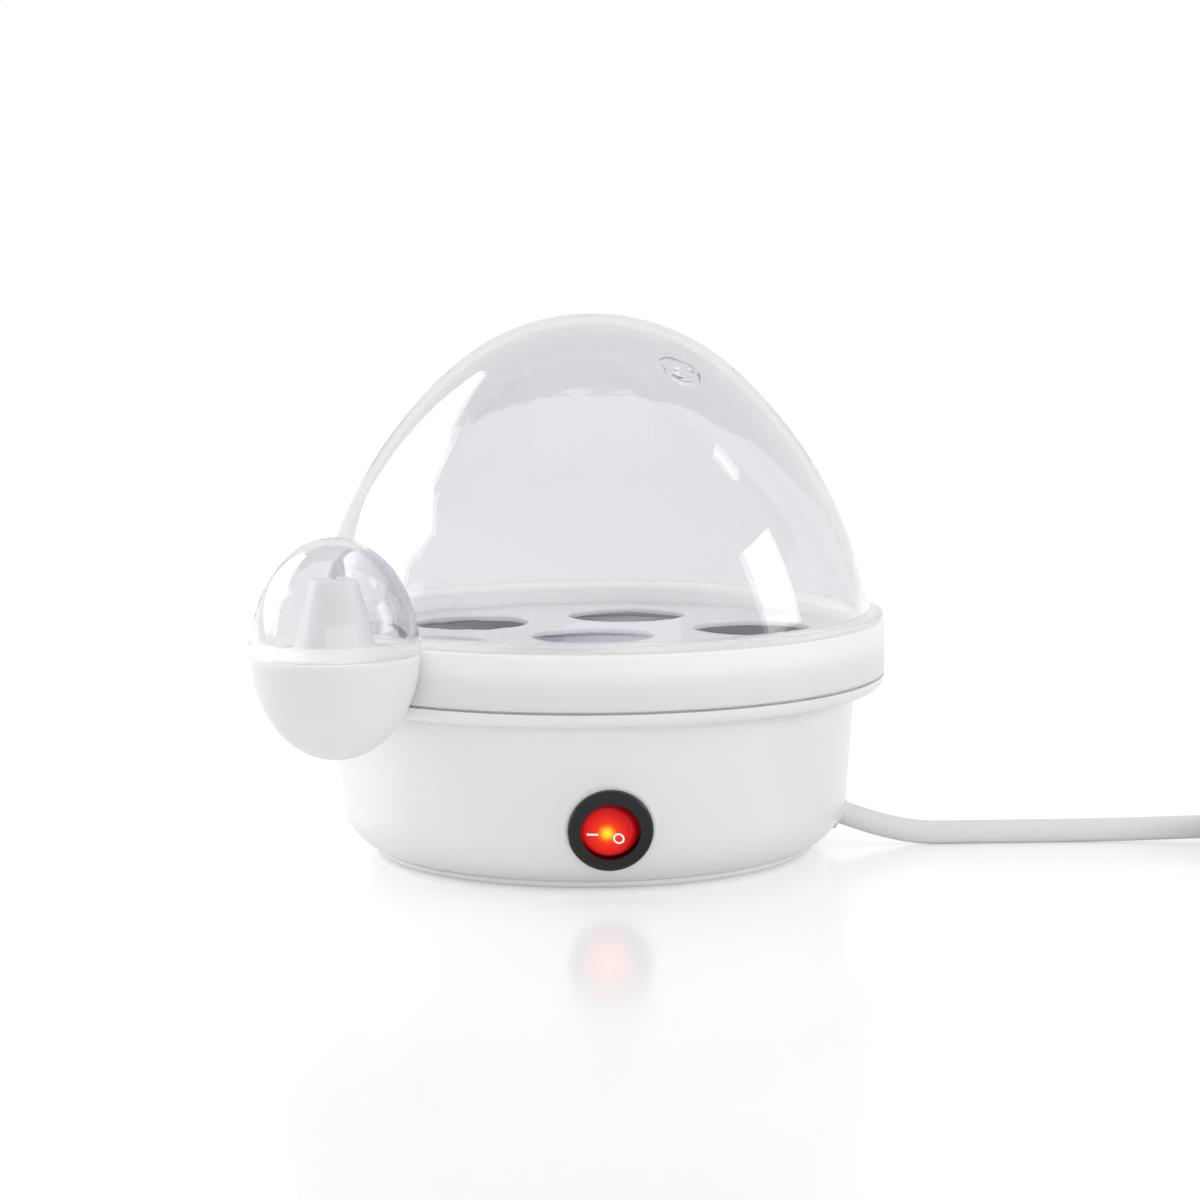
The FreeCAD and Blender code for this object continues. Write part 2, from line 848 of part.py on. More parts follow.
def is_rocker_rim(line):
    """True for the curved edges around the rocker's face."""
    return line.BoundBox.ZMin > 0 and line.Curve.TypeId == "Part::GeomCircle"


def make_switch():
    edge = 1.1
    body = turned(
        "switch_body",
        [
            (dims.well_radius, dims.bezel_height),
            (dims.bezel_radius - edge, dims.bezel_height),
            (dims.bezel_radius, dims.bezel_height - edge),
            (dims.bezel_radius, 0),
            (dims.barrel_radius, 0),
            (dims.barrel_radius, -dims.barrel_depth),
            (0, -dims.barrel_depth),
            (0, -dims.well_depth),
            (dims.rocker_room, -dims.well_depth),
            (dims.rocker_room, dims.well_lip),
            (dims.well_radius, dims.well_lip),
        ],
        {1: (dims.bezel_radius - edge, dims.bezel_height - edge)},
    )
    pin_half_length = dims.rocker_room + 0.55
    end_play = 0.2
    along_y = FreeCAD.Rotation(X_AXIS, -90)
    bore_length = 2 * (pin_half_length + end_play)
    bore = cylinder("trunnion_bore", dims.trunnion_radius + dims.trunnion_clearance, bore_length)
    place(bore, 0, -bore_length / 2, dims.rocker_pivot, along_y)
    node("switch_housing", place_in_switch(cut("switch_case", body, bore)))

    ball = doc.addObject("Part::Sphere", "rocker_ball")
    bind(ball, Radius=dims.rocker_radius)
    place(ball, 0, 0, dims.rocker_pivot)
    reach = 10.0
    skirt = -1.2
    half_swing = dims.rocker_swing / 2
    face = padded(
        "rocker_face",
        "XZ_Plane",
        [
            (-reach, skirt),
            (reach, skirt),
            (reach, dims.rocker_face + reach * tangent(half_swing + dims.rocker_dip)),
            (0, dims.rocker_face),
            (-reach, dims.rocker_face - reach * tangent(half_swing - dims.rocker_dip)),
        ],
        2 * reach,
    )
    web_half_width = 2.2
    web_low = -5.8
    web = box("rocker_web", 2 * web_half_width, 2 * reach, skirt - web_low)
    place(web, -web_half_width, -reach, web_low)
    cap = common("rocker_cap", [ball, fused("rocker_form", [face, web])])
    pin = cylinder("trunnion_pin", dims.trunnion_radius, 2 * pin_half_length)
    place(pin, 0, -pin_half_length, dims.rocker_pivot, along_y)
    lamp_half_length = 3.5
    lamp_height = -1.6

    def lamp_tube(name):
        tube_form = cylinder(name, dims.lamp_radius, 2 * lamp_half_length)
        return place(tube_form, 0, -lamp_half_length, lamp_height, along_y)

    doc.recompute()
    rounded = doc.addObject("Part::Fillet", "rocker_rounded")
    rounded.Base = cap
    rounded.Edges = [
        (index, RIM_ROUND, RIM_ROUND)
        for index, line in enumerate(cap.Shape.Edges, 1)
        if is_rocker_rim(line)
    ]
    solid = fused("rocker_solid", [rounded, pin])
    node("switch_rocker", place_in_switch(cut("rocker", solid, lamp_tube("lamp_seat"))))
    node("switch_lamp", place_in_switch(grouped("lamp", [lamp_tube("lamp_tube")])))

    blades = []
    blade_sheet = 0.8
    blade_width = 4.8
    for index, x in enumerate(SWITCH_BLADES):
        blade = box(f"switch_blade_{index}", blade_sheet, blade_width, BLADE_LENGTH)
        place(blade, x - blade_sheet / 2, -blade_width / 2, -dims.barrel_depth - BLADE_LENGTH)
        blades.append(blade)
    node("switch_terminals", place_in_switch(grouped("switch_blades", blades)))


# Egg tray, piercer and lid, drawn with the grips towards +X and then turned to their place

HOLE_ANGLES = [30 + 60 * index for index in range(6)]
PIERCER_PLATE = 19.9


def turn_to_grip(item):
    item.Placement = FreeCAD.Placement(FreeCAD.Vector(), about_z(dims.grip_direction.number))
    item.setExpression("Placement.Rotation.Angle", dims.grip_direction.text + " * 1 deg")
    return item


def egg_holes():
    places = [(0, 0)]
    for angle in HOLE_ANGLES:
        turn = Size(float(angle), f"({float(angle)})")
        places.append((dims.hole_pitch * cosine(turn), dims.hole_pitch * sine(turn)))
    return places


def make_egg_tray():
    inner = dims.ring_radius - dims.ring_wall
    step = dims.ring_radius - 0.9
    deck_low = dims.deck_top - dims.deck_thickness
    edge = 0.6
    pan = turned(
        "tray_pan",
        [
            (step, dims.parting_height),
            (step, dims.parting_height + dims.shadow_gap),
            (dims.ring_radius, dims.parting_height + dims.shadow_gap),
            (dims.ring_radius, dims.ring_top - edge),
            (dims.ring_radius - edge, dims.ring_top),
            (inner, dims.ring_top),
            (inner, dims.deck_top),
            (0, dims.deck_top),
            (0, deck_low),
            (inner, deck_low),
            (inner, dims.parting_height),
        ],
    )
    added = [pan]
    removed = []
    flare_radius = dims.hole_radius + dims.hole_flare
    flare_height = dims.deck_thickness - dims.hole_edge
    for index, (x, y) in enumerate(egg_holes()):
        bore = cylinder(f"egg_bore_{index}", dims.hole_radius, 10)
        removed.append(place(bore, x, y, deck_low - 2))
        flare = cone(f"egg_flare_{index}", flare_radius, dims.hole_radius, flare_height)
        removed.append(place(flare, x, y, deck_low))
    bowl = ellipsoid("grip_bowl", dims.grip_radius, dims.grip_drop, -90, 0)
    place(bowl, dims.grip_distance, 0, dims.ring_top)
    core_height = 60.0
    collar_gap = 0.6
    rim_core = place(cylinder("bowl_rim_core", dims.ring_radius - 1, core_height), 0, 0, 20)
    collar_core = cylinder("bowl_collar_core", dims.ring_radius + collar_gap, core_height)
    place(collar_core, 0, 0, dims.parting_height + collar_gap - core_height)
    added.append(cut("grip_bowl_cut", bowl, fused("bowl_cores", [rim_core, collar_core])))
    hollow = ellipsoid(
        "bowl_hollow", dims.grip_radius - dims.grip_wall, dims.grip_drop - dims.grip_wall, -90, 0
    )
    place(hollow, dims.grip_distance, 0, dims.ring_top)
    seat = cylinder("piercer_recess", PIERCER_PLATE + 0.1, dims.piercer_seat)
    place(seat, dims.grip_distance, 0, dims.ring_top - dims.piercer_seat)
    hollow_core = place(cylinder("hollow_core", dims.ring_radius, core_height), 0, 0, 20)
    removed.append(cut("grip_hollow", fused("bowl_inside", [hollow, seat]), hollow_core))
    tray = cut("tray", fused("tray_added", added), fused("tray_removed", removed))
    node("egg_tray", turn_to_grip(tray))


def make_piercer():
    plate = cylinder("piercer_disc", PIERCER_PLATE, dims.piercer_seat)
    place(plate, dims.grip_distance, 0, dims.ring_top - dims.piercer_seat)
    core = place(cylinder("piercer_core", dims.ring_radius + 0.1, 60), 0, 0, 20)
    seat = cone("piercer_cone", dims.piercer_base_radius, dims.piercer_top_radius, dims.piercer_height)
    place(seat, dims.grip_distance, 0, dims.ring_top)
    hollow = cone(
        "piercer_hollow",
        dims.piercer_base_radius - dims.piercer_wall,
        dims.piercer_top_radius - dims.piercer_wall,
        dims.piercer_height - dims.piercer_wall + dims.piercer_seat,
    )
    place(hollow, dims.grip_distance, 0, dims.ring_top - dims.piercer_seat)
    top = dims.ring_top + dims.piercer_height
    needle_hole = place(cylinder("needle_hole", dims.needle_radius, 8), dims.grip_distance, 0, top - 6)
    blank = fused("piercer_blank", [cut("piercer_disc_cut", plate, core), seat])
    piercer = cut("piercer", blank, fused("piercer_removed", [hollow, needle_hole]))
    node("piercer_plate", turn_to_grip(piercer))
    head_radius = 2.2
    under = top - dims.piercer_wall
    needle = turned(
        "needle",
        [
            (0, under - 1.2),
            (head_radius, under - 1.2),
            (head_radius, under),
            (dims.needle_radius, under),
            (dims.needle_radius, top + 2.2),
            (0, top + 4.2),
        ],
    )
    needle = place_round(needle, dims.grip_direction, dims.grip_distance)
    node("piercer_needle", needle)


def make_lid():
    turn = dims.dome_split_angle
    centre = dims.dome_apex - dims.dome_top_radius
    side_r = (dims.dome_top_radius - dims.dome_side_radius) * sine(turn)
    side_z = centre + (dims.dome_top_radius - dims.dome_side_radius) * cosine(turn)
    inner_top = dims.dome_top_radius - dims.lid_wall
    inner_side = dims.dome_side_radius - dims.lid_wall
    flange_top = dims.ring_top + dims.flange_height
    lip_low = dims.ring_top - dims.lip_depth

    def side_radius(radius, height):
        rise = height - side_z
        return side_r + root(radius * radius - rise * rise)

    dome = turned(
        "dome",
        [
            (0, dims.dome_apex),
            (dims.dome_top_radius * sine(turn), centre + dims.dome_top_radius * cosine(turn)),
            (side_radius(dims.dome_side_radius, flange_top), flange_top),
            (dims.ring_radius - dims.flange_round, flange_top),
            (dims.ring_radius, flange_top - dims.flange_round),
            (dims.ring_radius, dims.ring_top),
            (side_radius(dims.dome_side_radius, dims.ring_top), dims.ring_top),
            (side_radius(dims.dome_side_radius, lip_low), lip_low),
            (side_radius(inner_side, lip_low), lip_low),
            (inner_top * sine(turn), centre + inner_top * cosine(turn)),
            (0, dims.dome_apex - dims.lid_wall),
        ],
        {
            0: (Size(0.0, "0"), centre),
            1: (side_r, side_z),
            3: (dims.ring_radius - dims.flange_round, flange_top - dims.flange_round),
            8: (side_r, side_z),
            9: (Size(0.0, "0"), centre),
        },
    )
    cap = ellipsoid("cap_outer", dims.grip_radius, dims.grip_rise, 0, 90)
    place(cap, dims.grip_distance, 0, dims.ring_top)
    bead = cylinder("cap_bead", dims.grip_radius + 0.4, dims.bead_height)
    place(bead, dims.grip_distance, 0, dims.ring_top)
    bead_core = place(cylinder("bead_core", dims.ring_radius - 1, 60), 0, 0, 40)
    hollow = ellipsoid("cap_inner", dims.grip_radius - dims.cap_wall, dims.grip_rise - dims.cap_wall, -90, 90)
    place(hollow, dims.grip_distance, 0, dims.ring_top)
    flange_core = place(cylinder("flange_core", dims.ring_radius, 40), 0, 0, flange_top - 40)
    vent_turn = FreeCAD.Rotation(Y_AXIS, -sheet_number("vent_angle"))

    def on_vent(item, outward):
        reach = dims.dome_top_radius + outward
        x = -reach * sine(dims.vent_angle)
        return place(item, x, 0, centre + reach * cosine(dims.vent_angle), vent_turn)

    boss_root = 1.6
    recess = 0.5
    boss = cylinder("vent_boss", dims.vent_boss_radius, boss_root + dims.vent_boss_height)
    dish = cylinder("vent_dish", dims.vent_boss_radius - 1.8, 3)
    hole = cylinder("vent_hole", dims.vent_hole_radius, 12)
    added = [dome, cap, cut("bead", bead, bead_core), on_vent(boss, -boss_root)]
    removed = [
        cut("cap_hollow", hollow, flange_core),
        on_vent(dish, dims.vent_boss_height - recess),
        on_vent(hole, -8),
    ]
    lid = cut("lid", fused("lid_added", added), fused("lid_removed", removed))
    node("lid_dome", turn_to_grip(lid))


# Mains lead, coil, tie and plug

LEAD_POINTS = [
    (115.2, -11.4, 3.4),
    (149.5, -12.6, 3.4),
]
LAST_RUN = 28.0
QUARTERS_PER_LAYER = 5
CLIMB_QUARTERS = 2
START_ANGLE = 86.0


def exit_point(along):
    level = sheet_number("exit_radius") * FreeCAD.Vector(exit_heading.x, exit_heading.y, 0).normalize()
    return level + Z_AXIS * sheet_number("exit_height") + exit_heading * along


def coil_point(quarter):
    """The coil's centre line after a number of quarter turns, with its heading."""
    step = sheet_number("coil_step")
    outer = sheet_number("coil_outer_radius")
    turns = 2 * QUARTERS_PER_LAYER + CLIMB_QUARTERS
    inward = min(quarter, turns - quarter, QUARTERS_PER_LAYER + CLIMB_QUARTERS / 4)
    climb = min(max(quarter - QUARTERS_PER_LAYER, 0), CLIMB_QUARTERS) / CLIMB_QUARTERS
    angle = math.radians(START_ANGLE - 90 * quarter)
    radius = outer - inward * step / 4
    return FreeCAD.Vector(
        sheet_number("coil_centre_x") + radius * math.cos(angle),
        sheet_number("coil_centre_y") + radius * math.sin(angle),
        sheet_number("coil_lift") + climb * step,
    )


def coil_heading(quarter):
    """The direction of travel, level at both ends of the climb and rising in its middle."""
    angle = math.radians(START_ANGLE - 90 * quarter)
    heading = FreeCAD.Vector(math.sin(angle), -math.cos(angle), 0)
    middle = QUARTERS_PER_LAYER + CLIMB_QUARTERS / 2
    if quarter == middle:
        step = sheet_number("coil_step")
        half_turn = math.pi * (sheet_number("coil_outer_radius") - QUARTERS_PER_LAYER * step / 4)
        heading.z = 1.5 * step / half_turn
    return heading.normalize()


def arc_from(start, heading, end):
    """The arc that leaves a point along a heading and ends at another point."""
    chord = end - start
    reach = chord.dot(chord) / (2 * chord.dot(heading))
    apex = start + heading * reach
    middle = (start + end) * 0.5
    half = chord.Length / 2
    height = apex.distanceToPoint(middle)
    radius = reach * half / height
    sagitta = radius - math.sqrt(radius**2 - half**2)
    return Part.Arc(start, middle + (apex - middle) * (sagitta / height), end).toShape()


def biarc(start, start_heading, end, end_heading):
    """Two arcs that join smoothly between two points with given headings."""
    across = end - start
    both = start_heading + end_heading
    bend = 2 * (1 - start_heading.dot(end_heading))
    along = across.dot(both)
    reach = (-along + math.sqrt(along**2 + bend * across.dot(across))) / bend
    joint = (start + end + (start_heading - end_heading) * reach) * 0.5
    first = arc_from(start, start_heading, joint)
    last = arc_from(end, end_heading * -1, joint)
    middle = last.valueAt((last.FirstParameter + last.LastParameter) / 2)
    return [first, Part.Arc(joint, middle, end).toShape()]


def coil_edges():
    quarters = 2 * QUARTERS_PER_LAYER + CLIMB_QUARTERS
    straight = sheet_number("cord_diameter")
    first = coil_point(0)
    last = coil_point(quarters)
    start = first - coil_heading(0) * straight
    end = last + coil_heading(quarters) * sheet_number("coil_tail")
    edges = [Part.LineSegment(start, first).toShape()]
    for quarter in range(quarters):
        edges += biarc(
            coil_point(quarter),
            coil_heading(quarter),
            coil_point(quarter + 1),
            coil_heading(quarter + 1),
        )
    edges.append(Part.LineSegment(last, end).toShape())
    return edges, start, end


def print_least_gap(edges, diameter):
    """Measure how near the coil's turns come to each other, on points along its centre line."""
    path = Part.Wire(edges)
    spacing = 2.0
    points = path.discretize(Distance=spacing)
    apart = int(math.pi * diameter / spacing)
    least = min(
        first.distanceToPoint(second)
        for index, first in enumerate(points)
        for second in points[index + apart :]
    )
    print(f"coil: least gap between turns {least - diameter:.2f} mm, length {path.Length:.0f} mm")


def make_cord():
    diameter = sheet_number("cord_diameter")
    edges, coil_start, coil_end = coil_edges()
    print_least_gap(edges, diameter)
    fall = sheet_number("exit_height") - diameter / 2
    landing = exit_point(fall / math.sin(math.radians(sheet_number("exit_slope"))))
    route = [exit_point(BUSH_INNER_END), landing]
    route += [FreeCAD.Vector(*point) for point in LEAD_POINTS]
    route += [coil_start - coil_heading(0) * LAST_RUN, coil_start]
    lead_edges, radii = rounded_path(route)
    print("lead radii", [round(radius) for radius in radii])
    shape_node("cord_lead", tube(lead_edges, diameter / 2))
    shape_node("cord_coil", tube(edges, diameter / 2))
    return coil_end


def rounded_frame(name, low, high, left, right, corner):
    """A padded body of a rounded rectangle in the XZ plane."""
    return padded(
        name,
        "XZ_Plane",
        [
            (left + corner, low),
            (right - corner, low),
            (right, low + corner),
            (right, high - corner),
            (right - corner, high),
            (left + corner, high),
            (left, high - corner),
            (left, low + corner),
        ],
        dims.tie_width,
        {
            1: (as_size(right - corner), as_size(low + corner)),
            3: (as_size(right - corner), as_size(high - corner)),
            5: (as_size(left + corner), as_size(high - corner)),
            7: (as_size(left + corner), as_size(low + corner)),
        },
    )


def make_tie():
    cord_radius = dims.cord_diameter / 2
    play = 0.5
    low = dims.coil_lift - cord_radius - 0.05
    high = dims.coil_lift + dims.coil_step + cord_radius + play
    right = dims.coil_outer_radius - dims.coil_step / 4 + cord_radius + play
    left = dims.coil_outer_radius - 5 * dims.coil_step / 4 - cord_radius - play
    corner = as_size(3.0)
    sheet_size = dims.tie_sheet
    outer = rounded_frame(
        "tie_outer",
        low - sheet_size,
        high + sheet_size,
        left - sheet_size,
        right + sheet_size,
        corner + sheet_size,
    )
    inner = rounded_frame("tie_inner", low, high, left, right, corner)
    node("coil_tie", place(cut("tie", outer, inner), dims.coil_centre_x, dims.coil_centre_y))


def make_plug(cord_end):
    """The plug lies on its back beside the coil, with its boss at the lead's end."""
    heading = coil_heading(2 * QUARTERS_PER_LAYER + CLIMB_QUARTERS)
    turn = about_z(math.degrees(math.atan2(heading.y, heading.x)))
    boss_axis = cord_end.z
    centre = dims.plug_boss_length + dims.plug_radius - 2
    edge = 3.0
    rim = 1.0

    def settle(item):
        item.Placement = FreeCAD.Placement(FreeCAD.Vector(cord_end.x, cord_end.y, 0), turn)
        return item

    head = turned(
        "plug_head",
        [
            (0, 0),
            (dims.plug_radius - edge, 0),
            (dims.plug_radius, edge),
            (dims.plug_radius, dims.plug_height - rim),
            (dims.plug_radius - rim, dims.plug_height),
            (0, dims.plug_height),
        ],
        {1: (dims.plug_radius - edge, as_size(edge))},
    )
    place(head, centre)
    boss = cone("plug_boss", 5.2, 7.4, dims.plug_boss_length + 4)
    place(boss, 0, 0, boss_axis, FreeCAD.Rotation(Y_AXIS, 90))
    notch_width = 8.0
    notch_depth = 2.0
    removed = []
    contacts = []
    pins = []
    for side in (-1, 1):
        inset = dims.plug_radius - notch_depth
        notch = box(f"plug_notch_{side + 1}", notch_width, 4, dims.plug_height)
        place(notch, centre - notch_width / 2, side * (inset + 2) - 2, 5)
        removed.append(notch)
        contact = box(f"plug_contact_{side + 1}", 5, 0.8, 13)
        contacts.append(place(contact, centre - 2.5, side * (inset + 0.4) - 0.4, 6))
        pin = cylinder(f"plug_pin_{side + 1}", dims.plug_pin_radius, dims.plug_pin_length - 1)
        tip = cone(f"plug_pin_tip_{side + 1}", dims.plug_pin_radius, dims.plug_pin_radius - 0.8, 1)
        offset = side * dims.plug_pin_spacing / 2
        place(pin, centre + offset, 0, dims.plug_height)
        place(tip, centre + offset, 0, dims.plug_height + dims.plug_pin_length - 1)
        pins.append(fused(f"plug_pin_whole_{side + 1}", [pin, tip]))
    earth = place(cylinder("plug_earth_hole", 2.6, 12), centre, 9.5, dims.plug_height - 10)
    removed.append(earth)
    body = cut("plug", fused("plug_added", [head, boss]), fused("plug_removed", removed))
    node("plug_body", settle(body))
    node("plug_pins", settle(grouped("plug_pin_pair", pins)))
    node("plug_earth_contacts", settle(grouped("plug_contact_pair", contacts)))


# Inner wiring

WIRE_RADIUS = 1.1
CORE_OFFSET = 1.75


def make_wires(element_first, element_last):
    start = exit_point(BUSH_INNER_END)
    free = exit_point(BUSH_INNER_END - 7)
    side = exit_heading.cross(Z_AXIS).normalize()
    top = side.cross(exit_heading).normalize()
    behind_switch = FreeCAD.Rotation(X_AXIS, 90 + sheet_number("switch_tilt")).multVec(Z_AXIS)
    face = FreeCAD.Vector(0, -sheet_number("switch_distance"), sheet_number("switch_height"))
    blade_end = face - behind_switch * (sheet_number("barrel_depth") + BLADE_LENGTH)
    blade_approach = blade_end - behind_switch * 10
    thermostat_low = THERMOSTAT_LOW - THERMOSTAT_BLADE
    pin_low = sheet_number("element_end_height") - ELEMENT_PIN
    fuse_level = (
        sheet_number("dish_floor")
        - sheet_number("dish_sheet")
        - sheet_number("spreader_thickness")
        - SLEEVE_RADIUS
    )
    frame_low = sheet_number("frame_height")
    run_level = 8.5
    routes = {
        "wire_live": [
            start + side * CORE_OFFSET,
            free + side * CORE_OFFSET,
            (37, -16, 21),
            (24, -31, 20.5),
            blade_approach + X_AXIS * SWITCH_BLADES[2],
            blade_end + X_AXIS * SWITCH_BLADES[2],
        ],
        "wire_switched": [
            blade_end + X_AXIS * SWITCH_BLADES[0],
            blade_approach + X_AXIS * SWITCH_BLADES[0],
            (-10, -24, 16),
            (-6, -8, run_level),
            (-THERMOSTAT_SPACING, 0, run_level + 0.5),
            (-THERMOSTAT_SPACING, 0, thermostat_low),
        ],
        "wire_element": [
            (THERMOSTAT_SPACING, 0, thermostat_low),
            (THERMOSTAT_SPACING, 0, run_level + 0.5),
            (14, 9, run_level - 0.5),
            (25, 20, run_level),
            (element_first.x, element_first.y, run_level + 0.5),
            (element_first.x, element_first.y, pin_low),
        ],
        "wire_neutral": [
            start + top * CORE_OFFSET,
            free + top * CORE_OFFSET,
            (40, -11, 24.5),
            (33, -24, 27),
            (FUSE_X, FUSE_START - 9, fuse_level),
            (FUSE_X, FUSE_START, fuse_level),
        ],
        "wire_fuse": [
            (FUSE_X, FUSE_START + FUSE_LENGTH, fuse_level),
            (FUSE_X, FUSE_START + FUSE_LENGTH + 9, fuse_level),
            (27, 10, 21),
            (32, 13.5, run_level + 1),
            (element_last.x, element_last.y, run_level + 0.5),
            (element_last.x, element_last.y, pin_low),
        ],
        "wire_earth": [
            start - side * CORE_OFFSET,
            free - side * CORE_OFFSET,
            (48, 4.5, 22.5),
            (48, 4.5, frame_low),
        ],
    }
    for name, points in routes.items():
        edges, _ = rounded_path([FreeCAD.Vector(point) for point in points])
        shape_node(name, tube(edges, WIRE_RADIUS))


make_housing()
make_cord_bush()
make_bottom_cover()
make_heating_plate()
first_pin, last_pin = make_element()
make_plate_fixings()
make_thermostat()
make_thermal_fuse()
make_switch()
make_egg_tray()
make_piercer()
make_lid()
make_plug(make_cord())
make_tie()
make_wires(first_pin, last_pin)
doc.recompute()

# Check every object, then write one file for each sub-part

failed = [item.Label for item in doc.Objects if {"Invalid", "Error"} & set(item.State)]
for name, item in nodes.items():
    if item.Shape.isNull() or not item.Shape.isValid() or not item.Shape.Solids:
        failed.append(name)
if failed:
    raise RuntimeError(f"these objects failed: {failed}")
os.makedirs("parts", exist_ok=True)
for name, item in nodes.items():
    item.Shape.exportStep(f"parts/{name}.step")
    print(f"{name}: {len(item.Shape.Solids)} solids, {item.Shape.Volume:.0f} mm3")
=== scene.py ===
import math

import bpy
from mathutils import Matrix, Vector


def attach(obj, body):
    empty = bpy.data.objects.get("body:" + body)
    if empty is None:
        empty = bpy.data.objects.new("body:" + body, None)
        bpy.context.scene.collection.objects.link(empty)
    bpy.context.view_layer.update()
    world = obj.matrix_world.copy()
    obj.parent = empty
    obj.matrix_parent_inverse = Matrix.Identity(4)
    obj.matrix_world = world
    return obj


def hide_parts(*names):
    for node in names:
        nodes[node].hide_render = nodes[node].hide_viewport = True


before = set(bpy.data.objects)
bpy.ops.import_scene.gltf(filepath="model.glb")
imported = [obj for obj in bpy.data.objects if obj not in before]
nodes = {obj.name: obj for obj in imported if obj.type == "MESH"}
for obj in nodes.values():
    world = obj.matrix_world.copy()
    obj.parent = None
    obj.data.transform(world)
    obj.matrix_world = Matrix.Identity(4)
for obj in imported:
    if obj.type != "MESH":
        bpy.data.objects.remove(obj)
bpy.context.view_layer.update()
scene = bpy.context.scene
MM = 0.001


def link(obj):
    scene.collection.objects.link(obj)
    return obj


# Camera: lengths in metres, angles in degrees

FOCAL_PIXELS = 2775.0
IMAGE_PIXELS = 1200.0
SENSOR = 36.0
NEAR_CLIP = 0.01
VIEW_AZIMUTH = -3.3
VIEW_DISTANCE = 0.800
VIEW_HEIGHT = 0.1656
VIEW_PITCH = 6.70
VIEW_YAW = 0.15
VIEW_ROLL = -0.43


def make_camera():
    data = bpy.data.cameras.new("camera")
    data.sensor_width = SENSOR
    data.lens = FOCAL_PIXELS / IMAGE_PIXELS * SENSOR
    data.clip_start = NEAR_CLIP
    camera = link(bpy.data.objects.new("camera", data))
    azimuth = math.radians(VIEW_AZIMUTH)
    place = Vector((
        VIEW_DISTANCE * math.sin(azimuth),
        -VIEW_DISTANCE * math.cos(azimuth),
        VIEW_HEIGHT,
    ))
    heading = Matrix.Rotation(math.radians(VIEW_AZIMUTH - VIEW_YAW), 4, "Z")
    pitch = Matrix.Rotation(math.radians(90 - VIEW_PITCH), 4, "X")
    roll = Matrix.Rotation(math.radians(VIEW_ROLL), 4, "Z")
    camera.matrix_world = Matrix.Translation(place) @ heading @ pitch @ roll
    scene.camera = camera


make_camera()

# Mains lead, in millimetres: out of the bush, along the table, and into the coil with its plug

CORD_DIAMETER = 6.8
CORD_STEPS = 8
EXIT_RADIUS = 71.2
EXIT_HEIGHT = 9.1
EXIT_DIRECTION = math.radians(-7.5)
EXIT_SLOPE = math.radians(26.0)
INNER_END = -19.1
LEAD_POINTS = [(115.2, -11.4, 3.4), (149.5, -12.6, 3.4)]
LAST_RUN = 28.0
COIL_CENTRE = Vector((213.0, -58.2, 0.0))
COIL_RADIUS = 41.6
COIL_STEP = 7.8
COIL_LIFT = 4.3
COIL_TAIL = 24.0
QUARTERS_PER_LAYER = 5
CLIMB_QUARTERS = 2
QUARTERS = 2 * QUARTERS_PER_LAYER + CLIMB_QUARTERS
START_ANGLE = 86.0
POINTS_PER_QUARTER = 5


def exit_point(along):
    """A point on the lead's straight way out of the housing."""
    level = EXIT_RADIUS + along * math.cos(EXIT_SLOPE)
    return Vector((
        level * math.cos(EXIT_DIRECTION),
        level * math.sin(EXIT_DIRECTION),
        EXIT_HEIGHT - along * math.sin(EXIT_SLOPE),
    ))


def coil_angle(quarter):
    return math.radians(START_ANGLE - 90 * quarter)


def coil_point(quarter):
    """A point on the coil, which winds inwards, climbs to its second layer and winds out again."""
    inward = min(quarter, QUARTERS - quarter, QUARTERS_PER_LAYER + CLIMB_QUARTERS / 4)
    climb = min(max((quarter - QUARTERS_PER_LAYER) / CLIMB_QUARTERS, 0.0), 1.0)
    climb = climb * climb * (3 - 2 * climb)
    radius = COIL_RADIUS - inward * COIL_STEP / 4
    return COIL_CENTRE + Vector((
        radius * math.cos(coil_angle(quarter)),
        radius * math.sin(coil_angle(quarter)),
        COIL_LIFT + climb * COIL_STEP,
    ))


def coil_heading(quarter):
    return Vector((math.sin(coil_angle(quarter)), -math.cos(coil_angle(quarter)), 0.0))


def cord_points():
    landing = (EXIT_HEIGHT - CORD_DIAMETER / 2) / math.sin(EXIT_SLOPE)
    coil_start = coil_point(0) - coil_heading(0) * CORD_DIAMETER
    points = [exit_point(INNER_END), exit_point(landing)]
    points += [Vector(point) for point in LEAD_POINTS]
    points += [coil_start - coil_heading(0) * LAST_RUN, coil_start]
    count = QUARTERS * POINTS_PER_QUARTER
    points += [coil_point(index / POINTS_PER_QUARTER) for index in range(count + 1)]
    points.append(coil_point(QUARTERS) + coil_heading(QUARTERS) * COIL_TAIL)
    return points


def make_cord():
    data = bpy.data.curves.new("mains_lead", "CURVE")
    data.dimensions = "3D"
    data.bevel_depth = CORD_DIAMETER / 2
    data.bevel_resolution = CORD_STEPS
    data.resolution_u = CORD_STEPS
    data.use_fill_caps = True
    points = cord_points()
    spline = data.splines.new("NURBS")
    spline.points.add(len(points) - 1)
    for spot, point in zip(spline.points, points):
        spot.co = (*(point * MM), 1.0)
        spot.radius = MM
    spline.order_u = 3
    spline.use_endpoint_u = True
    lead = link(bpy.data.objects.new("mains_lead", data))
    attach(lead, "base")
    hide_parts("cord_lead", "cord_coil")
    return lead


lead = make_cord()

# Shader nodes: the owner is a material or the world


def node_of(owner, kind, **values):
    made = owner.node_tree.nodes.new(kind)
    for name, value in values.items():
        setattr(made, name, value)
    return made


def ranged(owner, source, low, high, to_low, to_high):
    """A number that runs from one value to another while its source runs from low to high."""
    made = node_of(owner, "ShaderNodeMapRange")
    made.inputs["From Min"].default_value = low
    made.inputs["From Max"].default_value = high
    made.inputs["To Min"].default_value = to_low
    made.inputs["To Max"].default_value = to_high
    owner.node_tree.links.new(source, made.inputs["Value"])
    return made.outputs["Result"]


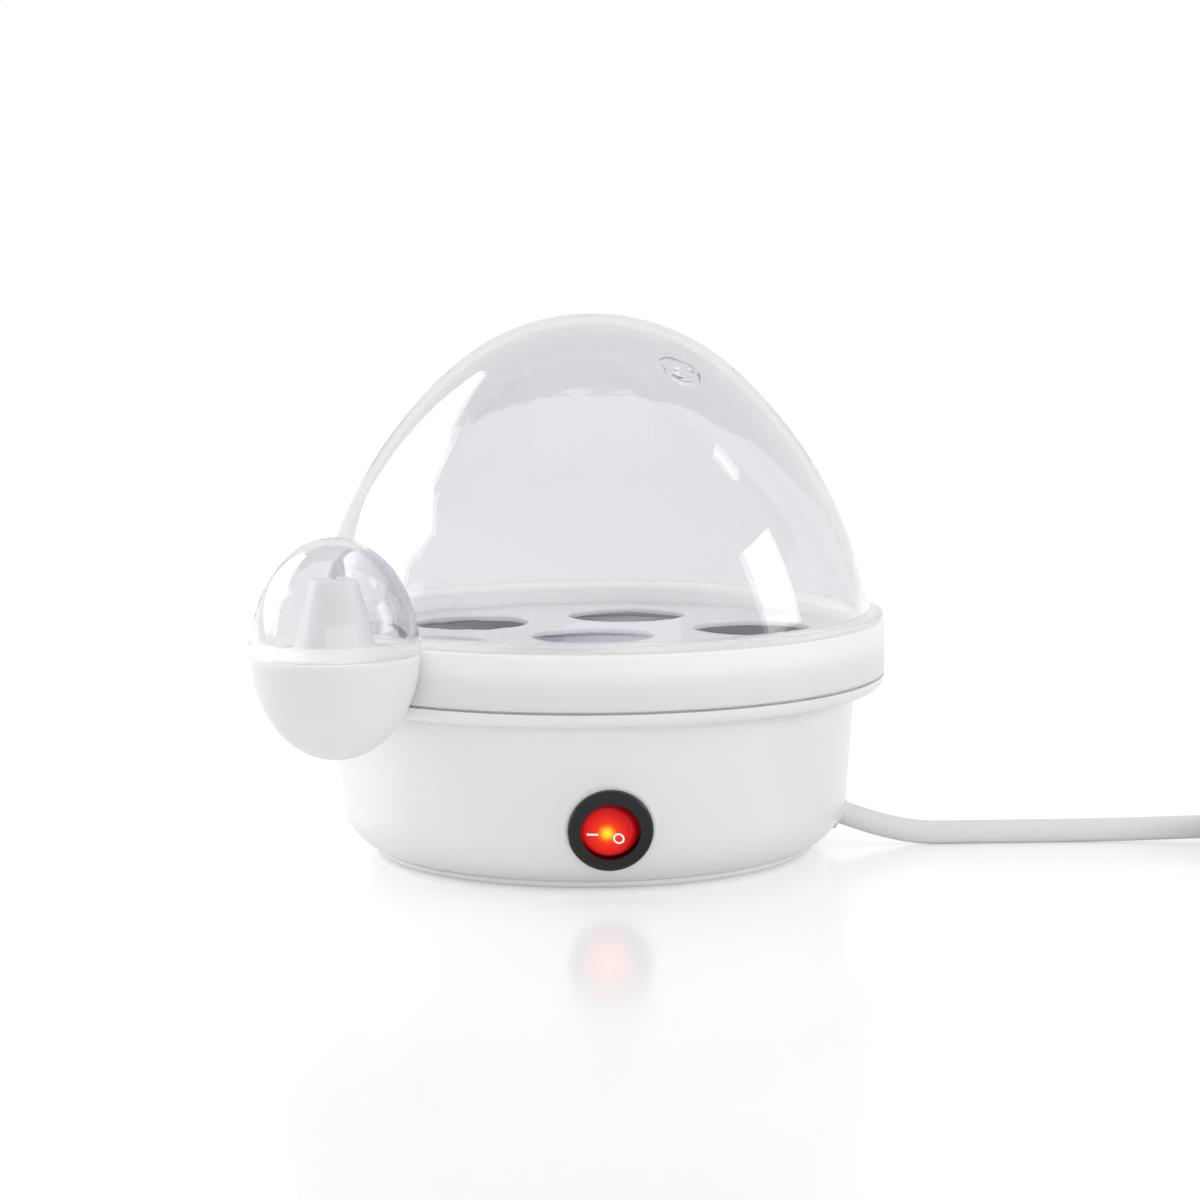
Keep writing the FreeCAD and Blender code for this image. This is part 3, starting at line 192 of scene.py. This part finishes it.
def combined(owner, operation, first, second):
    made = node_of(owner, "ShaderNodeMath", operation=operation)
    owner.node_tree.links.new(first, made.inputs[0])
    owner.node_tree.links.new(second, made.inputs[1])
    return made.outputs["Value"]


def ramped(owner, source, stops):
    """A colour that passes through the stops, each a position and a colour, with its source."""
    ramp = node_of(owner, "ShaderNodeValToRGB")
    elements = ramp.color_ramp.elements
    for position, _ in stops[1:-1]:
        elements.new(position)
    for element, (position, color) in zip(elements, stops):
        element.position = position
        element.color = (*color, 1.0)
    owner.node_tree.links.new(source, ramp.inputs["Fac"])
    return ramp.outputs["Color"]


def shader_of(material):
    return material.node_tree.nodes["Principled BSDF"]


def feed(material, socket, source):
    """Let a node drive a socket of the shader."""
    material.node_tree.links.new(source, shader_of(material).inputs[socket])


# Kinds of material: noise scales in features per metre, depths in metres

NOISE_LOW, NOISE_HIGH = 0.3, 0.7
TINT_START, TINT_END = 0.35, 0.65
FINE_DETAIL = 4.0
FLOW_SCALE = 18.0
GLOSS_SCALE = 60.0
LINE_SCALE = 900.0
STAIN_SCALE = 40.0
STAIN_SHADE = 0.9
GRAIN_DEPTH = 0.00001


def plain_material(name, color, roughness, **sockets):
    """A shader with constant values, to which grain is added."""
    material = bpy.data.materials.new(name)
    material.use_nodes = True
    shader = shader_of(material)
    shader.inputs["Base Color"].default_value = (*color, 1.0)
    shader.inputs["Roughness"].default_value = roughness
    for socket, value in sockets.items():
        shader.inputs[socket].default_value = value
    return material


def noise_of(material, scale, detail=3.0, stretch=(1, 1, 1)):
    """Noise in the object's own coordinates."""
    links = material.node_tree.links
    where = node_of(material, "ShaderNodeTexCoord")
    mapping = node_of(material, "ShaderNodeMapping")
    mapping.inputs["Scale"].default_value = stretch
    noise = node_of(material, "ShaderNodeTexNoise")
    noise.inputs["Scale"].default_value = scale
    noise.inputs["Detail"].default_value = detail
    links.new(where.outputs["Object"], mapping.inputs["Vector"])
    links.new(mapping.outputs["Vector"], noise.inputs["Vector"])
    return noise.outputs["Fac"]


def vary(material, source, socket, low, high):
    """Let a number of the shader run between two values with a noise."""
    feed(material, socket, ranged(material, source, NOISE_LOW, NOISE_HIGH, low, high))


def tint(material, source, first, second):
    """Let the colour run between two colours with a noise."""
    feed(material, "Base Color", ramped(material, source, ((TINT_START, first), (TINT_END, second))))


def bump(material, source, depth):
    """Raise the surface by a noise."""
    made = node_of(material, "ShaderNodeBump")
    made.inputs["Strength"].default_value = 1.0
    made.inputs["Distance"].default_value = depth
    material.node_tree.links.new(source, made.inputs["Height"])
    feed(material, "Normal", made.outputs["Normal"])


def shaded(color, share):
    return tuple(value * share for value in color)


def moulded(name, color, roughness, grain, depth=GRAIN_DEPTH, spread=0.02, flow=0.006, **sockets):
    """Moulded plastic or rubber: faint flow tint, uneven gloss and a fine grain."""
    material = plain_material(name, color, roughness, **sockets)
    tint(material, noise_of(material, FLOW_SCALE), shaded(color, 1 - flow), color)
    gloss = noise_of(material, GLOSS_SCALE)
    vary(material, gloss, "Roughness", roughness - spread, roughness + spread)
    bump(material, noise_of(material, grain, FINE_DETAIL), depth)
    return material


def metal(name, color, roughness, stretch):
    """Bare metal with fine drawn or turned lines."""
    material = plain_material(name, color, roughness, Metallic=1.0)
    lines = noise_of(material, LINE_SCALE, FINE_DETAIL, stretch)
    tint(material, noise_of(material, STAIN_SCALE), shaded(color, STAIN_SHADE), color)
    vary(material, lines, "Roughness", roughness * 0.8, roughness * 1.3)
    bump(material, lines, GRAIN_DEPTH)
    return material


def translucent(weight, depth):
    """Shader values of a plastic that lets light through by some depth in metres."""
    return {
        "Specular IOR Level": 0.3,
        "Subsurface Weight": weight,
        "Subsurface Radius": (1.0, 1.0, 1.0),
        "Subsurface Scale": depth,
    }


# Lid plastic: heights and radii in millimetres

FLANGE_TOP = 69.0
FROST_FADE = 0.6
FROST_ROUGHNESS = 0.55
BEAD_RISE = 1.6
BEAD_INNER = 84.4
BEAD_OUTER = 85.4
POLISH_SCALE = 25.0
POLISH_LOW, POLISH_HIGH = 0.012, 0.020
MILKY = (0.98, 0.98, 0.98)
CLEAR = (0.815, 0.815, 0.835)


def clear_plastic():
    """Clear lid plastic: polished walls, with a milky flange and a milky bead round the cap."""
    material = plain_material("clear_plastic", CLEAR, POLISH_HIGH, **{
        "Transmission Weight": 1.0, "IOR": 1.45,
    })
    links = material.node_tree.links
    where = node_of(material, "ShaderNodeTexCoord")
    split = node_of(material, "ShaderNodeSeparateXYZ")
    flat = node_of(material, "ShaderNodeVectorMath", operation="MULTIPLY")
    flat.inputs[1].default_value = (1, 1, 0)
    away = node_of(material, "ShaderNodeVectorMath", operation="LENGTH")
    links.new(where.outputs["Object"], split.inputs["Vector"])
    links.new(where.outputs["Object"], flat.inputs[0])
    links.new(flat.outputs["Vector"], away.inputs[0])
    outside = away.outputs["Value"]
    rise = ranged(material, outside, BEAD_INNER * MM, BEAD_OUTER * MM, 0.0, BEAD_RISE * MM)
    height = combined(material, "SUBTRACT", split.outputs["Z"], rise)
    milk = ranged(material, height, FLANGE_TOP * MM, (FLANGE_TOP + FROST_FADE) * MM, 1.0, 0.0)
    frost = ranged(material, milk, 0.0, 1.0, 0.0, FROST_ROUGHNESS)
    wall = noise_of(material, POLISH_SCALE)
    polish = ranged(material, wall, NOISE_LOW, NOISE_HIGH, POLISH_LOW, POLISH_HIGH)
    feed(material, "Roughness", combined(material, "ADD", frost, polish))
    feed(material, "Base Color", ramped(material, milk, ((0.0, CLEAR), (1.0, MILKY))))
    return material


# Materials of the nodes


def give(material, *names):
    for name in names:
        obj = nodes[name]
        obj.data.materials.clear()
        obj.data.materials.append(material)


POLISHED = {"grain": 2600.0, "depth": 0.0000004, "spread": 0.01, "flow": 0.004}
white = moulded("white_plastic", (0.845, 0.845, 0.847), 0.24, **POLISHED)
tray_white = moulded("tray_plastic", (0.86, 0.86, 0.863), 0.33, **POLISHED, **translucent(0.8, 0.005))
piercer_white = moulded(
    "piercer_plastic", (0.93, 0.93, 0.933), 0.36, **POLISHED, **translucent(0.5, 0.003)
)
clear = clear_plastic()
dish_coat = moulded("dish_coating", (0.82, 0.82, 0.88), 0.35, 1800.0)
aluminium = metal("aluminium", (0.80, 0.81, 0.82), 0.35, (1, 12, 1))
steel = metal("steel", (0.62, 0.63, 0.64), 0.36, (1, 1, 12))
dull_steel = metal("element_steel", (0.30, 0.29, 0.29), 0.45, (1, 1, 6))
brass = metal("brass", (0.80, 0.64, 0.34), 0.36, (1, 1, 12))
silicone = moulded("silicone", (0.62, 0.62, 0.61), 0.6, 2200.0)
foot_rubber = moulded("foot_rubber", (0.16, 0.16, 0.165), 0.7, 2000.0, 0.00003)
black = moulded(
    "black_plastic", (0.013, 0.013, 0.015), 0.16, 2400.0, 0.000001, **{"Specular IOR Level": 0.3}
)
brown = moulded("brown_plastic", (0.16, 0.08, 0.045), 0.4, 2000.0)
sheath = moulded("cord_sheath", (0.79, 0.79, 0.79), 0.45, 1800.0)
plug_white = moulded("plug_plastic", (0.80, 0.80, 0.80), 0.42, 2000.0)
weave = moulded("sleeve_weave", (0.62, 0.58, 0.45), 0.8, 1500.0, 0.0001)
wire_brown = moulded("wire_brown", (0.20, 0.09, 0.04), 0.45, 2000.0)
wire_blue = moulded("wire_blue", (0.03, 0.10, 0.42), 0.45, 2000.0)
wire_green = moulded("wire_green", (0.16, 0.40, 0.05), 0.45, 2000.0)
lamp_glass = plain_material("lamp_glass", (1.0, 0.75, 0.25), 0.15, **{
    "Emission Color": (1.0, 0.55, 0.12, 1.0), "Emission Strength": 2.5,
})
bump(lamp_glass, noise_of(lamp_glass, 2500.0), 0.000002)

give(white, "base_housing", "bottom_cover")
give(tray_white, "egg_tray")
give(piercer_white, "piercer_plate")
give(clear, "lid_dome")
give(dish_coat, "heating_plate")
give(aluminium, "heat_spreader", "thermal_fuse")
give(steel, "cover_screws", "plate_studs", "holding_frame", "stud_nuts", "thermostat_bracket")
give(steel, "fuse_clip", "element_pins", "piercer_needle")
give(dull_steel, "heating_element")
give(brass, "thermostat_terminals", "switch_terminals", "plug_pins", "plug_earth_contacts")
give(silicone, "plate_seal")
give(foot_rubber, "rubber_feet")
give(black, "switch_housing")
give(brown, "thermostat")
give(sheath, "cord_bush")
give(plug_white, "plug_body", "coil_tie")
give(weave, "fuse_sleeve")
give(wire_brown, "wire_live", "wire_switched", "wire_element")
give(wire_blue, "wire_neutral", "wire_fuse")
give(wire_green, "wire_earth")
give(lamp_glass, "switch_lamp")
lead.data.materials.append(sheath)

# Light passes through the clear lid
nodes["lid_dome"].visible_shadow = False
nodes["lid_dome"].visible_diffuse = False

# Rocker, in millimetres from the switch's centre: red lens lit from inside, a bar and a ring

SWITCH_TILT = math.radians(12.5)
SWITCH_ORIGIN = Vector((0.0, -73.2, 18.6)) * MM
SWITCH_TURN = Matrix.Rotation(math.radians(90.0) + SWITCH_TILT, 4, "X")
ROCKER_FACE = 1.2
PRESSED_SLOPE = math.radians(5.0)
RAISED_SLOPE = math.radians(15.0)
GLOW_SPOT = (-0.9, -0.6, 1.0)
GLOW_REACH = 8.0
GLOW_STOPS = (
    (0.0, (0.92, 0.88, 0.03)),
    (0.14, (0.92, 0.62, 0.02)),
    (0.24, (0.88, 0.20, 0.01)),
    (0.36, (0.80, 0.035, 0.006)),
    (0.72, (0.56, 0.006, 0.006)),
    (0.88, (0.34, 0.003, 0.003)),
    (1.0, (0.10, 0.001, 0.001)),
)
MARK_THICKNESS = 0.12
BAR_STEPS = (-6.3, -4.8, -3.3)
BAR_LOW, BAR_HIGH = -1.25, -0.75
RING_STEPS = 48
RING_CENTRE = (2.15, -1.85)
RING_INNER = 1.05
RING_OUTER = 1.5


def switch_point(x, y, z):
    return SWITCH_ORIGIN + SWITCH_TURN @ (Vector((x, y, z)) * MM)


def face_point(x, y):
    """A point on the rocker's face, which is bent along its middle."""
    slope = RAISED_SLOPE if x > 0 else PRESSED_SLOPE
    return switch_point(x, y, ROCKER_FACE + x * math.tan(slope))


def make_lens():
    """Translucent red whose light falls off with the distance from the lamp."""
    material = plain_material("red_lens", (0.16, 0.003, 0.003), 0.08, **{
        "Specular IOR Level": 0.15, "Emission Strength": 1.0,
    })
    where = node_of(material, "ShaderNodeTexCoord")
    away = node_of(material, "ShaderNodeVectorMath", operation="DISTANCE")
    away.inputs[1].default_value = switch_point(*GLOW_SPOT)
    material.node_tree.links.new(where.outputs["Object"], away.inputs[0])
    reach = ranged(material, away.outputs["Value"], 0.0, GLOW_REACH * MM, 0.0, 1.0)
    feed(material, "Emission Color", ramped(material, reach, GLOW_STOPS))
    give(material, "switch_rocker")


def mark_mesh(name, outline, closed=False):
    """A thin raised mark from pairs of inner and outer points, placed on the rocker."""
    mesh = bpy.data.meshes.new(name)
    points = [point for pair in outline for point in pair]
    count = len(outline)
    faces = []
    for index in range(count if closed else count - 1):
        a = 2 * index
        b = 2 * ((index + 1) % count)
        faces.append((a, a + 1, b + 1, b))
    mesh.from_pydata(points, [], faces)
    obj = link(bpy.data.objects.new(name, mesh))
    thick = obj.modifiers.new("thickness", "SOLIDIFY")
    thick.thickness = MARK_THICKNESS * MM
    thick.offset = 0.0
    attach(obj, "rocker")
    obj.data.materials.append(mark_white_painted_glow)


def ring_pair(step):
    """The inner and the outer point of the ring at one step of its turn."""
    turn = 2 * math.pi * step / RING_STEPS
    return tuple(
        face_point(RING_CENTRE[0] + radius * math.cos(turn), RING_CENTRE[1] + radius * math.sin(turn))
        for radius in (RING_INNER, RING_OUTER)
    )


make_lens()
# The white marks are given a faint warm glow of their own: painted light, though they are no lamp.
mark_white_painted_glow = plain_material("mark_white_painted_glow", (0.95, 0.93, 0.9), 0.4, **{
    "Emission Color": (1.0, 0.85, 0.75, 1.0), "Emission Strength": 0.35,
})
bump(mark_white_painted_glow, noise_of(mark_white_painted_glow, 3000.0), 0.000005)
mark_mesh("mark_on", [(face_point(x, BAR_LOW), face_point(x, BAR_HIGH)) for x in BAR_STEPS])
mark_mesh("mark_off", [ring_pair(step) for step in range(RING_STEPS)], closed=True)

# Floor, world and lights, in metres and watts

FLOOR_REACH = 6.0
FLOOR_BOUNCE = (0.92, 0.92, 0.92)
FLOOR_SEEN = (0.44, 0.44, 0.44)
FLOOR_LIFT = 0.48
WORLD_LIGHT = (0.98, 0.99, 1.0, 1.0)
WORLD_STRENGTH = 0.65
WORLD_SEEN = (1.0, 1.0, 1.0, 1.0)


def seen_fac(owner):
    """One for camera, glossy and transmission rays, for what they see as background."""
    path = node_of(owner, "ShaderNodeLightPath")
    sight = combined(owner, "MAXIMUM", path.outputs["Is Camera Ray"], path.outputs["Is Glossy Ray"])
    return combined(owner, "MAXIMUM", sight, path.outputs["Is Transmission Ray"])


def make_floor():
    """A pale floor: part of what is seen is its own light, so that shadows stay soft."""
    material = plain_material("floor", FLOOR_BOUNCE, 0.18, **{
        "Specular IOR Level": 0.35, "Emission Color": (1.0, 1.0, 1.0, 1.0),
    })
    seen = seen_fac(material)
    feed(material, "Base Color", ramped(material, seen, ((0.0, FLOOR_BOUNCE), (1.0, FLOOR_SEEN))))
    feed(material, "Emission Strength", ranged(material, seen, 0.0, 1.0, 0.0, FLOOR_LIFT))
    mesh = bpy.data.meshes.new("floor")
    corners = [(-1, -1), (1, -1), (1, 1), (-1, 1)]
    mesh.from_pydata([(x * FLOOR_REACH, y * FLOOR_REACH, 0) for x, y in corners], [], [(0, 1, 2, 3)])
    floor = link(bpy.data.objects.new("floor", mesh))
    mesh.materials.append(material)


def make_world():
    world = bpy.data.worlds.new("studio")
    scene.world = world
    world.use_nodes = True
    tree = world.node_tree
    light = tree.nodes["Background"]
    light.inputs["Color"].default_value = WORLD_LIGHT
    light.inputs["Strength"].default_value = WORLD_STRENGTH
    seen = node_of(world, "ShaderNodeBackground")
    seen.inputs["Color"].default_value = WORLD_SEEN
    seen.inputs["Strength"].default_value = 1.0
    mix = node_of(world, "ShaderNodeMixShader")
    tree.links.new(seen_fac(world), mix.inputs["Fac"])
    tree.links.new(light.outputs["Background"], mix.inputs[1])
    tree.links.new(seen.outputs["Background"], mix.inputs[2])
    tree.links.new(mix.outputs["Shader"], tree.nodes["World Output"].inputs["Surface"])


def make_light(name, place, aim, size, power, roll=0.0, glossy=True):
    """A rectangular panel that faces its aim; one that isn't glossy shows in no reflection."""
    data = bpy.data.lights.new(name, "AREA")
    data.shape = "RECTANGLE"
    data.size, data.size_y = size
    data.energy = power
    lamp = link(bpy.data.objects.new(name, data))
    lamp.location = place
    facing = (Vector(aim) - Vector(place)).to_track_quat("-Z", "Y").to_matrix()
    lamp.rotation_euler = (facing @ Matrix.Rotation(math.radians(roll), 3, "Z")).to_euler()
    lamp.visible_glossy = glossy


make_floor()
make_world()
make_light("left_softbox", (-0.98, 0.52, 0.58), (0, 0, 0.1), (1.1, 0.74), 8.0, roll=-14.0)
make_light("right_window", (1.15, -0.22, 0.47), (0, 0, 0.1), (0.40, 0.42), 2.1)
make_light("right_lamp", (0.85, 0.0, 0.89), (0, 0, 0.1), (0.10, 0.16), 0.15)
make_light("front_panel", (0.25, -1.6, 0.42), (0, 0, 0.05), (1.4, 0.5), 4.8, glossy=False)
make_light("top_panel", (0.0, 0.0, 1.25), (0, 0, 0.1), (1.0, 1.0), 1.4, glossy=False)

scene.view_settings.view_transform = "Standard"
